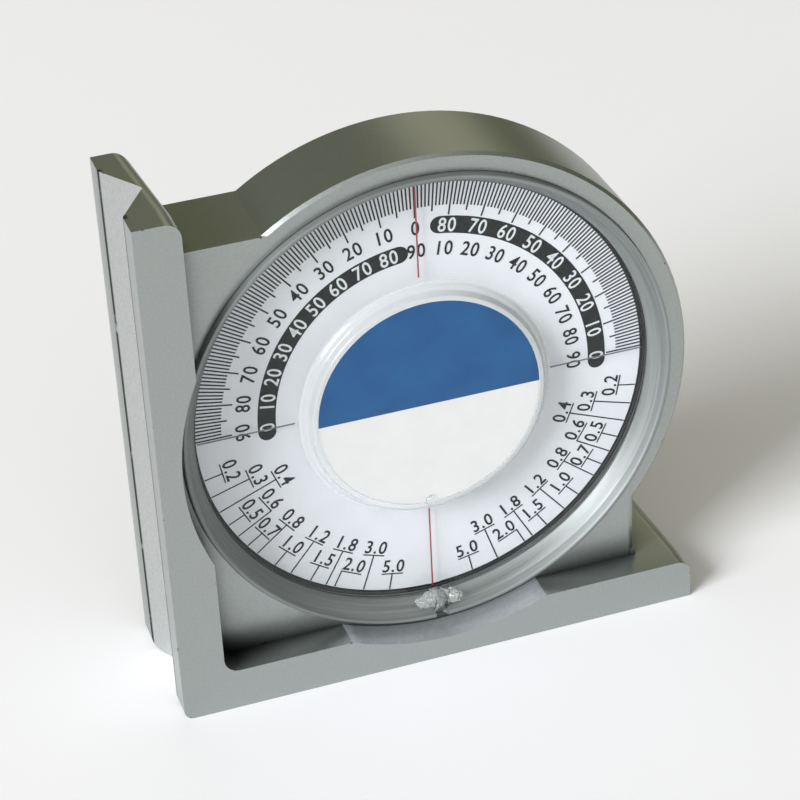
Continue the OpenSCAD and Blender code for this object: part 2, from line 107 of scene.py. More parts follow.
def selectOnly(*pieces):
    bpy.ops.object.select_all(action="DESELECT")
    for piece in pieces:
        piece.select_set(True)
    bpy.context.view_layer.objects.active = pieces[0]


# Applies the modifiers and puts the object's place into its mesh
def settle(piece):
    selectOnly(piece)
    for modifier in list(piece.modifiers):
        bpy.ops.object.modifier_apply(modifier=modifier.name)
    bpy.ops.object.transform_apply(location=True, rotation=True, scale=True)


# A point of the dial, clockwise from the top as seen from the front
def clockPoint(degrees, radius, depth):
    angle = math.radians(degrees)
    return Vector((dialAxis.x + radius * math.sin(angle), depth, dialAxis.z + radius * math.cos(angle)))


def radiusOf(point):
    return math.hypot(point.x - dialAxis.x, point.z - dialAxis.z)


# The camera stands where the photograph was taken from
photoCamera = {
    "place": (-0.12664, -0.39613, 0.31349),
    "turn": (57.615, 2.477, -19.022),  # degrees about X, Y and Z
    "lens": 117.59,
    "sensor": 36,
    "clip": (0.01, 50),
}


def makeCamera():
    bpy.ops.object.camera_add(
        location=photoCamera["place"],
        rotation=[math.radians(a) for a in photoCamera["turn"]],
    )
    camera = bpy.context.object
    camera.name = "photoCamera"
    camera.data.lens = photoCamera["lens"]
    camera.data.sensor_width = photoCamera["sensor"]
    camera.data.clip_start, camera.data.clip_end = photoCamera["clip"]
    bpy.context.scene.camera = camera


makeCamera()
print("camera set")


# Noise lies mostly between the two values of a span
grainSpan = (0.3, 0.7)
smudgeSpan = (0.35, 0.65)
smudgeSize = mm(9)  # of the smudges on clear plastic


def startMaterial(name):
    material = bpy.data.materials.new(name)
    material.use_nodes = True
    material.node_tree.nodes.clear()
    return material, material.node_tree


# Colour and roughness that wander a little, and a fine relief
def makeFinish(look):
    material, tree = startMaterial(look["name"])
    place = addNode(tree, "ShaderNodeTexCoord").outputs["Object"]
    grain = addNode(tree, "ShaderNodeTexNoise", {
        "Scale": 1 / look["grain"], "Detail": 4.0,
    }, {"Vector": place})
    relief = addNode(tree, "ShaderNodeTexNoise", {
        "Scale": 1 / look["relief"], "Detail": 2.0,
    }, {"Vector": place})
    low, high = grainSpan
    smooth, rough = look["roughness"]
    colour = addNode(tree, "ShaderNodeValToRGB", {
        "ramp": [(low, look["dark"]), (high, look["light"])],
    }, {"Fac": grain.outputs[0]})
    roughness = addNode(tree, "ShaderNodeMapRange", {
        "From Min": low, "From Max": high, "To Min": smooth, "To Max": rough,
    }, {"Value": grain.outputs[0]})
    bump = addNode(tree, "ShaderNodeBump", {
        "Distance": look["reliefHeight"],
    }, {"Height": relief.outputs[0]})
    shader = addNode(tree, "ShaderNodeBsdfPrincipled", {
        "Metallic": look.get("metallic", 0.0),
    }, {"Base Color": colour.outputs[0], "Roughness": roughness.outputs[0], "Normal": bump.outputs[0]})
    if not look.get("metallic"):
        shader.inputs["IOR"].default_value = look["ior"]
    addNode(tree, "ShaderNodeOutputMaterial", None, {"Surface": shader.outputs[0]})
    return material


# The shader of clear plastic, which lets lamps through. Milk is the share of light that it scatters
def addClearShader(tree, look, roughness, bump):
    shader = addNode(tree, "ShaderNodeBsdfPrincipled", {
        "Base Color": linear(look["colour"]), "IOR": look["ior"], "Metallic": look.get("silver", 0.0),
        "Transmission Weight": 1 - look.get("milk", 0.0),
    }, {"Roughness": roughness, "Normal": bump})
    lampRay = addNode(tree, "ShaderNodeLightPath")
    passes = addNode(tree, "ShaderNodeMath", {"operation": "MAXIMUM"}, {
        0: lampRay.outputs["Is Shadow Ray"], 1: lampRay.outputs["Is Diffuse Ray"],
    })
    through = addNode(tree, "ShaderNodeBsdfTransparent", {"Color": linear(look["shade"])})
    mixed = addNode(tree, "ShaderNodeMixShader", None, {
        "Fac": passes.outputs[0], 1: shader.outputs[0], 2: through.outputs[0],
    })
    addNode(tree, "ShaderNodeOutputMaterial", None, {"Surface": mixed.outputs[0]})
    return shader


def makeClear(look):
    material, tree = startMaterial(look["name"])
    place = addNode(tree, "ShaderNodeTexCoord").outputs["Object"]
    relief = addNode(tree, "ShaderNodeTexNoise", {
        "Scale": 1 / look["relief"], "Detail": 2.0,
    }, {"Vector": place})
    bump = addNode(tree, "ShaderNodeBump", {
        "Distance": look["reliefHeight"],
    }, {"Height": relief.outputs[0]})
    smudge = addNode(tree, "ShaderNodeTexNoise", {
        "Scale": 1 / smudgeSize, "Detail": 3.0,
    }, {"Vector": place})
    low, high = smudgeSpan
    smooth, rough = look["roughness"]
    roughness = addNode(tree, "ShaderNodeMapRange", {
        "From Min": low, "From Max": high, "To Min": smooth, "To Max": rough,
    }, {"Value": smudge.outputs[0]})
    addClearShader(tree, look, roughness.outputs[0], bump.outputs[0])
    return material


# Clear plastic dressed on a lathe: streaks run round the dial axis and fade in and out along the way
def makeTurned(look):
    material, tree = startMaterial(look["name"])
    place = addNode(tree, "ShaderNodeTexCoord").outputs["Object"]
    centred = addNode(tree, "ShaderNodeMapping", {
        "Location": (-dialAxis.x, 0, -dialAxis.z), "Scale": (1, 0, 1),
    }, {"Vector": place})
    radius = addNode(tree, "ShaderNodeVectorMath", {
        "operation": "LENGTH",
    }, {"Vector": centred.outputs[0]})
    across = addNode(tree, "ShaderNodeMapRange", {
        "clamp": False, "From Max": look["streak"],
    }, {"Value": radius.outputs["Value"]})
    around = addNode(tree, "ShaderNodeVectorMath", {
        "operation": "SCALE", "Scale": 1 / look["streakLength"],
    }, {"Vector": centred.outputs[0]})
    both = addNode(tree, "ShaderNodeVectorMath", {
        "operation": "ADD",
    }, {0: across.outputs[0], 1: around.outputs[0]})
    streaks = addNode(tree, "ShaderNodeTexNoise", {
        "Scale": 1.0, "Detail": 2.0,
    }, {"Vector": both.outputs[0]})
    bump = addNode(tree, "ShaderNodeBump", {
        "Distance": look["reliefHeight"],
    }, {"Height": streaks.outputs[0]})
    low, high = smudgeSpan
    smooth, rough = look["roughness"]
    roughness = addNode(tree, "ShaderNodeMapRange", {
        "From Min": low, "From Max": high, "To Min": smooth, "To Max": rough,
    }, {"Value": streaks.outputs[0]})
    colour = addNode(tree, "ShaderNodeValToRGB", {
        "ramp": [(low, look["colour"]), (high, look["light"])],
    }, {"Fac": streaks.outputs[0]})
    shader = addClearShader(tree, look, roughness.outputs[0], bump.outputs[0])
    tree.links.new(colour.outputs[0], shader.inputs["Base Color"])
    return material


# Dark lines along the edges where the groove meets its lips, small chips, and painted shade that darkens the
# inner corners
def wearLacquer(material, marks):
    tree = material.node_tree
    shader = next(node for node in tree.nodes if node.type == "BSDF_PRINCIPLED")
    place = addNode(tree, "ShaderNodeTexCoord").outputs["Object"]
    parts = addNode(tree, "ShaderNodeSeparateXYZ", None, {"Vector": place})
    depth = addNode(tree, "ShaderNodeMath", {"operation": "ABSOLUTE"}, {0: parts.outputs["Y"]})
    fromEdge = addNode(tree, "ShaderNodeMath", {
        "operation": "SUBTRACT", 1: marks["grooveHalf"],
    }, {0: depth.outputs[0]})
    gap = addNode(tree, "ShaderNodeMath", {"operation": "ABSOLUTE"}, {0: fromEdge.outputs[0]})
    narrowing = addNode(tree, "ShaderNodeMapRange", {
        "From Min": -marks["frontBlend"], "From Max": marks["frontBlend"],
        "To Min": marks["frontNarrowing"], "To Max": 1,
    }, {"Value": parts.outputs["Y"]})
    reach = addNode(tree, "ShaderNodeMath", {
        "operation": "MULTIPLY",
    }, {0: gap.outputs[0], 1: narrowing.outputs[0]})
    nearEdge = addNode(tree, "ShaderNodeMapRange", {
        "From Min": marks["edgeLineWidth"], "From Max": marks["edgeLineWidth"] / 2,
    }, {"Value": reach.outputs[0]})
    onLip = addNode(tree, "ShaderNodeMapRange", {
        "From Min": cadLow.x + 2 * marks["edgeLineWidth"], "From Max": cadLow.x + marks["edgeLineWidth"],
    }, {"Value": parts.outputs["X"]})
    edgeLine = addNode(tree, "ShaderNodeMath", {
        "operation": "MULTIPLY",
    }, {0: nearEdge.outputs[0], 1: onLip.outputs[0]})
    patchy = addNode(tree, "ShaderNodeTexNoise", {
        "Scale": 1 / marks["edgeLinePatch"], "Detail": 3.0,
    }, {"Vector": place})
    patches = addNode(tree, "ShaderNodeMapRange", {
        "From Min": marks["edgeLineNoise"][0], "From Max": marks["edgeLineNoise"][1],
    }, {"Value": patchy.outputs[0]})
    broken = addNode(tree, "ShaderNodeMath", {
        "operation": "MULTIPLY",
    }, {0: edgeLine.outputs[0], 1: patches.outputs[0]})

    rounded = addNode(tree, "ShaderNodeBevel", {"samples": 6, "Radius": marks["chipReach"]})
    surface = addNode(tree, "ShaderNodeNewGeometry")
    likeness = addNode(tree, "ShaderNodeVectorMath", {
        "operation": "DOT_PRODUCT",
    }, {0: rounded.outputs[0], 1: surface.outputs["Normal"]})
    edge = addNode(tree, "ShaderNodeMapRange", {
        "From Min": marks["edgeLikeness"][0], "From Max": marks["edgeLikeness"][1],
    }, {"Value": likeness.outputs["Value"]})
    spots = addNode(tree, "ShaderNodeTexNoise", {
        "Scale": 1 / marks["chip"], "Detail": 2.0,
    }, {"Vector": place})
    few = addNode(tree, "ShaderNodeMapRange", {
        "From Min": marks["chipNoise"][0], "From Max": marks["chipNoise"][1],
    }, {"Value": spots.outputs[0]})
    chips = addNode(tree, "ShaderNodeMath", {
        "operation": "MULTIPLY",
    }, {0: edge.outputs[0], 1: few.outputs[0]})
    linesAndChips = addNode(tree, "ShaderNodeMath", {
        "operation": "MAXIMUM",
    }, {0: broken.outputs[0], 1: chips.outputs[0]})

    # Painted shade: the less open view a point has, the more its colour is darkened towards the shade colour
    openness = addNode(tree, "ShaderNodeAmbientOcclusion", {
        "samples": 12, "only_local": True, "Distance": marks["paintedShadeReach"],
    })
    corner = addNode(tree, "ShaderNodeMapRange", {
        "From Min": marks["paintedShadeOpen"][1], "From Max": marks["paintedShadeOpen"][0],
    }, {"Value": openness.outputs["AO"]})
    for share, hexCode in ((corner.outputs[0], marks["paintedShadeColour"]), (linesAndChips.outputs[0], marks["colour"])):
        undarkened = shader.inputs["Base Color"].links[0].from_socket
        colour = addNode(tree, "ShaderNodeMix", {
            "data_type": "RGBA", "B": linear(hexCode),
        }, {"Factor": share, "A": undarkened})
        tree.links.new(colour.outputs["Result"], shader.inputs["Base Color"])
    return material


lacquerWearAndShade = {
    "colour": "343735",
    "grooveHalf": mm(9.25),
    "edgeLineWidth": mm(0.5), "edgeLinePatch": mm(3),
    "edgeLineNoise": (0.2, 0.4),  # noise at which the dark line starts, and is whole
    "frontNarrowing": 0.5,  # share of the front lip's distances, so that its dark line is wider
    "frontBlend": mm(1),  # either side of the middle, where that share ends
    "chipReach": mm(0.5), "chip": mm(1.6),
    "chipNoise": (0.67, 0.71),  # noise at which a chip starts, and is whole
    "edgeLikeness": (0.995, 0.95),  # cosines between the real and the rounded normal
    # Painted shade in the inner corners: its colour, and how far a point looks for what hides it
    "paintedShadeColour": "262A29", "paintedShadeReach": mm(14),
    "paintedShadeOpen": (0.41, 0.77),  # open share of the view at which the painted corner shade is darkest, and gone
}
finishes = {
    # Die-cast aluminium under satin silver lacquer: soft broad highlights and a faint orange peel
    "lacquer": wearLacquer(makeFinish({
        "name": "silverLacquer", "dark": "A0A5A3", "light": "A8ADAB", "metallic": 0.9,
        "roughness": (0.3, 0.35), "grain": mm(0.5), "relief": mm(0.9), "reliefHeight": mm(0.002),
    }), lacquerWearAndShade),
    # The groove's flanks, milled after casting: the same satin, but lighter; the lighter tone is partly
    # painted light, for the stronger light from the left that falls on them
    "milledFlankPaintedLight": wearLacquer(makeFinish({
        "name": "milledAluminiumPaintedLight", "dark": "BABDBC", "light": "C7CAC9", "metallic": 0.95,
        "roughness": (0.28, 0.36), "grain": mm(0.5), "relief": mm(0.9), "reliefHeight": mm(0.002),
    }), dict(lacquerWearAndShade, paintedShadeOpen=(0.3, 0.6))),
    # The hollow turned into the rails round the drum's mouth: bare and matt
    "turnedRelief": makeFinish({
        "name": "turnedAluminium", "dark": "A9AFB1", "light": "B7BDBF", "metallic": 0.55,
        "roughness": (0.38, 0.48), "grain": mm(0.8), "relief": mm(0.6), "reliefHeight": mm(0.003),
    }),
    # Off-white polystyrene, moulded: slightly soft gloss
    "cup": makeFinish({
        "name": "mouldedPolystyrene", "dark": "DEDFDC", "light": "E6E6E3",
        "roughness": (0.3, 0.4), "grain": mm(4), "relief": mm(1), "reliefHeight": mm(0.003),
        "ior": 1.59,
    }),
    # Black nitrile rubber, cut from sheet: dull
    "gasket": makeFinish({
        "name": "nitrileRubber", "dark": "1D2022", "light": "26292B",
        "roughness": (0.6, 0.75), "grain": mm(1), "relief": mm(0.4), "reliefHeight": mm(0.01),
        "ior": 1.52,
    }),
    # Closed-cell foam: dull, with visible pores
    "foam": makeFinish({
        "name": "closedCellFoam", "dark": "1F2122", "light": "323436",
        "roughness": (0.8, 0.95), "grain": mm(0.6), "relief": mm(0.5), "reliefHeight": mm(0.05),
        "ior": 1.4,
    }),
    # Zinc-plated steel: bright, a little uneven
    "zincSteel": makeFinish({
        "name": "zincPlatedSteel", "dark": "A6AAB0", "light": "C0C4C8", "metallic": 1.0,
        "roughness": (0.25, 0.38), "grain": mm(0.5), "relief": mm(0.3), "reliefHeight": mm(0.003),
    }),
    # Ground bearing steel: bright and even
    "groundSteel": makeFinish({
        "name": "groundSteel", "dark": "B4B6BA", "light": "C8CACC", "metallic": 1.0,
        "roughness": (0.15, 0.22), "grain": mm(0.3), "relief": mm(0.2), "reliefHeight": mm(0.001),
    }),
    # Turned and punched brass, a little tarnished
    "brass": makeFinish({
        "name": "turnedBrass", "dark": "B0904A", "light": "C9A95E", "metallic": 1.0,
        "roughness": (0.25, 0.38), "grain": mm(2), "relief": mm(0.4), "reliefHeight": mm(0.002),
    }),
    # Synthetic ruby, polished
    "ruby": makeFinish({
        "name": "polishedRuby", "dark": "7A1428", "light": "94203A",
        "roughness": (0.04, 0.08), "grain": mm(1), "relief": mm(1), "reliefHeight": mm(0.0005),
        "ior": 1.77,
    }),
    # White polyester film, screen-printed: even and satin. It and its inks lie in oil, which takes
    # most of their gloss
    "film": makeFinish({
        "name": "whitePolyesterFilm", "dark": "E5E6EB", "light": "EAEBF0",
        "roughness": (0.45, 0.55), "grain": mm(6), "relief": mm(0.7), "reliefHeight": mm(0.001),
        "ior": 1.15,
    }),
    # Black screen ink: matt
    "ink": makeFinish({
        "name": "blackScreenInk", "dark": "181B1C", "light": "212425",
        "roughness": (0.5, 0.6), "grain": mm(0.5), "relief": mm(0.3), "reliefHeight": mm(0.001),
        "ior": 1.1,
    }),
    # White screen ink over black: matt
    "whiteInk": makeFinish({
        "name": "whiteScreenInk", "dark": "D5D8DA", "light": "E2E4E6",
        "roughness": (0.5, 0.6), "grain": mm(0.5), "relief": mm(0.3), "reliefHeight": mm(0.001),
        "ior": 1.1,
    }),
    # White vinyl sticker: satin
    "vinyl": makeFinish({
        "name": "whiteVinyl", "dark": "D7D8D7", "light": "DCDDDC",
        "roughness": (0.35, 0.45), "grain": mm(5), "relief": mm(0.6), "reliefHeight": mm(0.001),
        "ior": 1.5,
    }),
    # Blue offset ink under the sticker's clear film: satin
    "blueInk": makeFinish({
        "name": "blueStickerInk", "dark": "07497B", "light": "13568B",
        "roughness": (0.32, 0.42), "grain": mm(9), "relief": mm(0.6), "reliefHeight": mm(0.001),
        "ior": 1.5,
    }),
    # Red enamel line, painted: fairly glossy
    "redLine": makeFinish({
        "name": "redEnamel", "dark": "8E2A35", "light": "A53A44",
        "roughness": (0.3, 0.4), "grain": mm(0.4), "relief": mm(0.3), "reliefHeight": mm(0.001),
        "ior": 1.5,
    }),
    # Grey enamel line, painted: fairly glossy
    "greyLine": makeFinish({
        "name": "greyEnamel", "dark": "5C5E62", "light": "6C6E72",
        "roughness": (0.3, 0.4), "grain": mm(0.4), "relief": mm(0.3), "reliefHeight": mm(0.001),
        "ior": 1.5,
    }),
    # Moulded rubber plug: dark and dull
    "plug": makeFinish({
        "name": "greyRubber", "dark": "5E6664", "light": "747B79",
        "roughness": (0.4, 0.55), "grain": mm(0.7), "relief": mm(0.4), "reliefHeight": mm(0.01),
        "ior": 1.52,
    }),
    # Acrylic as polished by the mould: clear, with sharp reflections
    "acrylic": makeClear({
        "name": "clearAcrylic", "colour": "FAFCFB", "shade": "FBFCFC", "ior": 1.49,
        "roughness": (0.0, 0.02), "relief": mm(20), "reliefHeight": mm(0.0006),
    }),
    # The same acrylic where silicone oil wets it. The oil bends light nearly as much as acrylic
    # does, so nothing shines there and the dial looks nearer than it is
    "wetAcrylic": makeClear({
        "name": "oiledAcrylic", "colour": "FDFEFE", "shade": "FDFEFE", "ior": 1.08,
        "roughness": (0.0, 0.02), "relief": mm(20), "reliefHeight": mm(0.0006),
    }),
    # Acrylic on the boss's side, which the mould left less bright
    "edgeAcrylic": makeClear({
        "name": "mouldedEdgeAcrylic", "colour": "F1F4F3", "shade": "F6F8F7", "ior": 1.49, "milk": 0.3,
        "roughness": (0.1, 0.18), "relief": mm(3), "reliefHeight": mm(0.01),
    }),
    # Acrylic where a lathe tool dressed the rim: hazy, with long soft streaks, and the casting's
    # silver shines through it
    "turnedAcrylic": makeTurned({
        "name": "turnedAcrylic", "colour": "838886", "light": "999E9D", "shade": "D8DCDB", "ior": 1.49,
        "milk": 0.72, "silver": 0.42, "roughness": (0.42, 0.54), "streak": mm(0.8), "streakLength": mm(30),
        "reliefHeight": mm(0.035),
    }),
    # Drop of clear glue, set uneven and a little cloudy
    "glue": makeClear({
        "name": "clearGlue", "colour": "E4E8E6", "shade": "DDE1DF", "ior": 1.47, "milk": 0.2,
        "roughness": (0.04, 0.12), "relief": mm(1.2), "reliefHeight": mm(0.03),
    }),
}
print("finishes mixed:", len(finishes))


def coat(piece, finish):
    piece.data.materials.clear()
    piece.data.materials.append(finishes[finish])


# CAD pieces whose shape is right as it is
plainPieces = {
    "capsule_cup": "cup", "capsule_gasket": "gasket", "capsule_pad": "foam", "centre_label": "vinyl",
    "centre_label_field": "blueInk", "index_line_top": "redLine", "index_line_bottom": "redLine",
    "index_lines_side": "greyLine", "front_jewel": "ruby", "rear_jewel": "ruby", "spindle": "groundSteel",
    "dial_hub": "brass", "dial_washer": "brass", "dial_plate": "film", "dial_film": "film",
    "dial_graduations": "ink", "dial_figure_bands": "ink", "dial_gradient_lines": "ink",
    "counterweight": "brass", "counterweight_rivets": "zincSteel",
}
for nodeName, finish in plainPieces.items():
    coat(nodes[nodeName], finish)


joinWithin = mm(0.002)  # corners nearer than this become one
flatWithin = 0.4  # degrees between faces that become one


# A copy with its corners joined and its flat faces whole
def mergedCopy(nodeName, pieceName):
    selectOnly(nodes[nodeName])
    bpy.ops.object.duplicate()
    piece = bpy.context.object
    piece.name = pieceName
    del piece["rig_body"]
    del piece["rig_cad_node"]
    bpy.ops.object.parent_clear(type="CLEAR_KEEP_TRANSFORM")
    bpy.ops.object.mode_set(mode="EDIT")
    bpy.ops.mesh.select_all(action="SELECT")
    bpy.ops.mesh.remove_doubles(threshold=joinWithin)
    bpy.ops.mesh.dissolve_limited(angle_limit=math.radians(flatWithin))
    bpy.ops.object.mode_set(mode="OBJECT")
    bpy.ops.mesh.customdata_custom_splitnormals_clear()
    return piece


# Weight is how much a face's size counts, at most 100, which keeps the large faces flat
shading = {"smoothBelow": 40, "weight": 100}


def breakEdges(piece, width, segments, sharp):
    bevel = piece.modifiers.new("brokenEdges", "BEVEL")
    bevel.width = width
    bevel.segments = segments
    bevel.limit_method = "ANGLE"
    bevel.angle_limit = math.radians(sharp)
    settle(piece)
    bpy.ops.object.shade_smooth_by_angle(angle=math.radians(shading["smoothBelow"]))
    evenShading = piece.modifiers.new("evenShading", "WEIGHTED_NORMAL")
    evenShading.weight = shading["weight"]
    evenShading.keep_sharp = True
    settle(piece)


castingEdges = {"width": mm(0.3), "segments": 2, "sharp": 35}
grooveFlank = {"left": 0.7, "sideways": (0.4, 0.65)}  # parts of its normal
# The hollow in the rails round the drum's mouth. Inwards is the least such part of its normal
mouthRelief = {"radius": mm(49.2), "reach": mm(0.5), "depth": mm(6.5), "inwards": 0.5}


def isFlank(face):
    least, most = grooveFlank["sideways"]
    return face.normal.x < -grooveFlank["left"] and least < abs(face.normal.y) < most


def isRelief(face):
    inward = dialAxis - face.center
    inward.y = 0
    near = abs(inward.length - mouthRelief["radius"]) < mouthRelief["reach"]
    shallow = face.center.y < cadLow.y + mouthRelief["depth"]
    return near and shallow and face.normal.dot(inward.normalized()) > mouthRelief["inwards"]


def makeCasting():
    casting = mergedCopy("frame", "frame_casting")
    breakEdges(casting, **castingEdges)
    coat(casting, "lacquer")
    casting.data.materials.append(finishes["milledFlankPaintedLight"])
    casting.data.materials.append(finishes["turnedRelief"])
    for face in casting.data.polygons:
        face.material_index = 1 if isFlank(face) else 2 if isRelief(face) else 0
    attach(casting, "housing")
    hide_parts("frame")


makeCasting()
print("casting made")


window = {
    "steps": 192,  # faces round the axis
    "cornerSteps": 4,
    "smoothBelow": 28,  # degrees
    "turnedFrom": mm(44.5),  # radius from which a lathe dressed it
    "bossSide": (mm(21.7), mm(24.8)),
    # Space behind the window that the oil fills. Backwards is the least such part of a wet face's normal
    "oil": {"radius": mm(45.1), "from": mm(8.5), "backwards": -0.1},
    # Section from the axis over the front and back along the inside: radius, depth behind the
    # rails' front and rounding of each corner, in millimetres
    "section": (
        (0, 7.0, 0), (21.73, 7.0, 0.03), (21.73, 6.5, 0.12), (22.73, 6.5, 0.3),  # label's seat and lip
        (23.2, 7.9, 0.25), (23.9, 8.3, 0.2), (24.53, 9.0, 0.4),  # boss's stepped side
        (44.65, 9.0, 0.3), (46.1, 6.4, 0.1), (46.3, 6.2, 0.1), (46.9, 4.6, 0.35),  # rim's slope
        (47.7, 4.6, 0.3),  # rim's face
        (47.7, 8.4, 0.1), (46.3, 8.4, 0.1), (46.3, 13.3, 0.2),  # flange and skirt
        (45.0, 13.3, 0.2), (45.0, 11.0, 0.3), (20.1, 11.0, 0.3), (20.1, 8.6, 0.3),  # inside
        (4.0, 8.6, 0.2), (4.0, 11.0, 0.1), (2.03, 11.0, 0.05), (2.03, 9.3, 0), (0, 9.3, 0),  # jewel's seat
    ),
    "plugHole": {
        "radius": mm(1.28), "from": (45.9, 6.8), "tilt": 32, "depth": mm(3.1),
        "length": mm(12), "sides": 48,  # of the rod that cuts it
    },
}


# The corners of a section as points, with a short curve at each corner that is rounded
def roundCorners(corners, cornerSteps):
    points = []
    for i, (radius, depth, rounding) in enumerate(corners):
        corner = Vector((radius, depth))
        if not rounding:
            points.append(corner)
            continue
        start = corner + rounding * (Vector(corners[i - 1][:2]) - corner).normalized()
        end = corner + rounding * (Vector(corners[i + 1][:2]) - corner).normalized()
        for step in range(cornerSteps + 1):
            t = step / cornerSteps
            points.append(start * (1 - t) ** 2 + corner * 2 * t * (1 - t) + end * t ** 2)
    return [Vector((dialAxis.x + mm(p.x), cadLow.y + mm(p.y), dialAxis.z)) for p in points]


# One vertex drawn out along a section and spun about the dial axis
def turnSection(points, steps):
    bpy.ops.object.select_all(action="DESELECT")
    bpy.ops.mesh.primitive_plane_add(size=mm(1), location=(0, 0, 0))
    bpy.ops.object.mode_set(mode="EDIT")
    bpy.ops.mesh.select_all(action="SELECT")
    bpy.ops.mesh.merge(type="CENTER")
    bpy.ops.transform.translate(value=points[0])
    for last, point in zip(points, points[1:]):
        bpy.ops.mesh.extrude_vertices_move(TRANSFORM_OT_translate={"value": point - last})
    bpy.ops.mesh.select_all(action="SELECT")
    bpy.ops.mesh.spin(steps=steps, angle=math.tau, center=dialAxis, axis=(0, 1, 0))
    bpy.ops.mesh.select_all(action="SELECT")
    bpy.ops.mesh.remove_doubles(threshold=joinWithin)
    bpy.ops.mesh.normals_make_consistent(inside=False)
    bpy.ops.object.mode_set(mode="OBJECT")
    return bpy.context.object


# Rod along the filler plug, to cut the hole for it
def makePlugRod(hole):
    radius, depth = hole["from"]
    mouth = Vector((dialAxis.x, cadLow.y + mm(depth), dialAxis.z - mm(radius)))
    tilt = math.radians(hole["tilt"])
    middle = mouth - (hole["length"] / 2 - hole["depth"]) * Vector((0, math.cos(tilt), math.sin(tilt)))
    bpy.ops.object.select_all(action="DESELECT")
    bpy.ops.mesh.primitive_cylinder_add(
        vertices=hole["sides"], radius=hole["radius"], depth=hole["length"], location=middle,
        rotation=(tilt - math.radians(90), 0, 0),
    )
    return bpy.context.object


def cutWith(piece, cutter):
    cut = piece.modifiers.new("cut", "BOOLEAN")
    cut.operation = "DIFFERENCE"
    cut.solver = "EXACT"
    cut.object = cutter
    settle(piece)
    bpy.data.objects.remove(cutter, do_unlink=True)


def isWet(face):
    oil = window["oil"]
    inOil = radiusOf(face.center) < oil["radius"] and face.center.y > cadLow.y + oil["from"]
    return inOil and face.normal.y > oil["backwards"]


def makeWindow():
    piece = turnSection(roundCorners(window["section"], window["cornerSteps"]), window["steps"])
    piece.name = "window_moulding"
    cutWith(piece, makePlugRod(window["plugHole"]))
    bpy.ops.object.shade_smooth_by_angle(angle=math.radians(window["smoothBelow"]))
    coat(piece, "acrylic")
    piece.data.materials.append(finishes["turnedAcrylic"])
    piece.data.materials.append(finishes["edgeAcrylic"])
    piece.data.materials.append(finishes["wetAcrylic"])
    bossInside, bossOutside = window["bossSide"]
    for face in piece.data.polygons:
        radii = [radiusOf(piece.data.vertices[i].co) for i in face.vertices]
        turned = min(radii) > window["turnedFrom"]
        onBoss = min(radii) > bossInside and max(radii) < bossOutside
        face.material_index = 3 if isWet(face) else 1 if turned else 2 if onBoss else 0
    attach(piece, "housing")
    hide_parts("capsule_window")
    return piece


windowPiece = makeWindow()
print("window made")


gatePip = {
    "clock": 181.5, "radius": mm(21.3), "depth": mm(6.33), "width": mm(2.6), "height": mm(0.4),
    "sides": 32, "edges": {"width": mm(0.36), "segments": 5, "sharp": 50},
}


# What is left of the moulding gate, on the lip round the label
def makeGatePip():
    middle = clockPoint(gatePip["clock"], gatePip["radius"], cadLow.y + gatePip["depth"])
    bpy.ops.object.select_all(action="DESELECT")
    bpy.ops.mesh.primitive_cylinder_add(
        vertices=gatePip["sides"], radius=gatePip["width"] / 2, depth=2 * gatePip["height"],
        location=middle, rotation=(math.radians(90), 0, 0),
    )
    pip = bpy.context.object
    pip.name = "gate_pip"
    breakEdges(pip, **gatePip["edges"])
    coat(pip, "acrylic")
    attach(pip, "housing")


makeGatePip()
print("gate pip made")


screwEdges = {"width": mm(0.08), "segments": 2, "sharp": 35}
plugEdges = {"width": mm(0.3), "segments": 4, "sharp": 35}


def makeFasteners():
    screws = mergedCopy("capsule_screws", "screw_set")
    breakEdges(screws, **screwEdges)
    coat(screws, "zincSteel")
    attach(screws, "housing")
    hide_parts("capsule_screws")
    plug = mergedCopy("filler_plug", "plug_moulding")
    breakEdges(plug, **plugEdges)
    coat(plug, "plug")
    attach(plug, "housing")
    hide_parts("filler_plug")


makeFasteners()
print("screws and plug made")


figures = {
    "height": mm(2.8),  # of a numeral
    "textScale": 1.42,  # size of a text object whose numerals are 1 high
    "squeeze": 0.84,  # across a numeral
    "spacing": 1.14,
    "boldness": 0.018,  # share of the height
    "ink": mm(0.02),  # its thickness
    "curveSteps": 4,
    # Middles of the two rows of degrees, and the bars of the three rows of slopes
    "outerRadius": mm(35.0),
    "innerRadius": mm(30.3),
    "slopeRadii": (mm(40.3), mm(36.0), mm(31.7)),
    "slopeRows": ((0.2, 0.5, 0.7, 1.0, 1.5, 2.0, 5.0), (0.3, 0.6, 0.8, 1.2, 1.8, 3.0), (0.4,)),
    "slopeGap": mm(0.45),  # between a bar and its figure
    # Figures whose bar stands beside its line: up the dial, or down it where negative
    "slopeSlides": {0.6: mm(2.07), 2.0: mm(-2.07)},
}


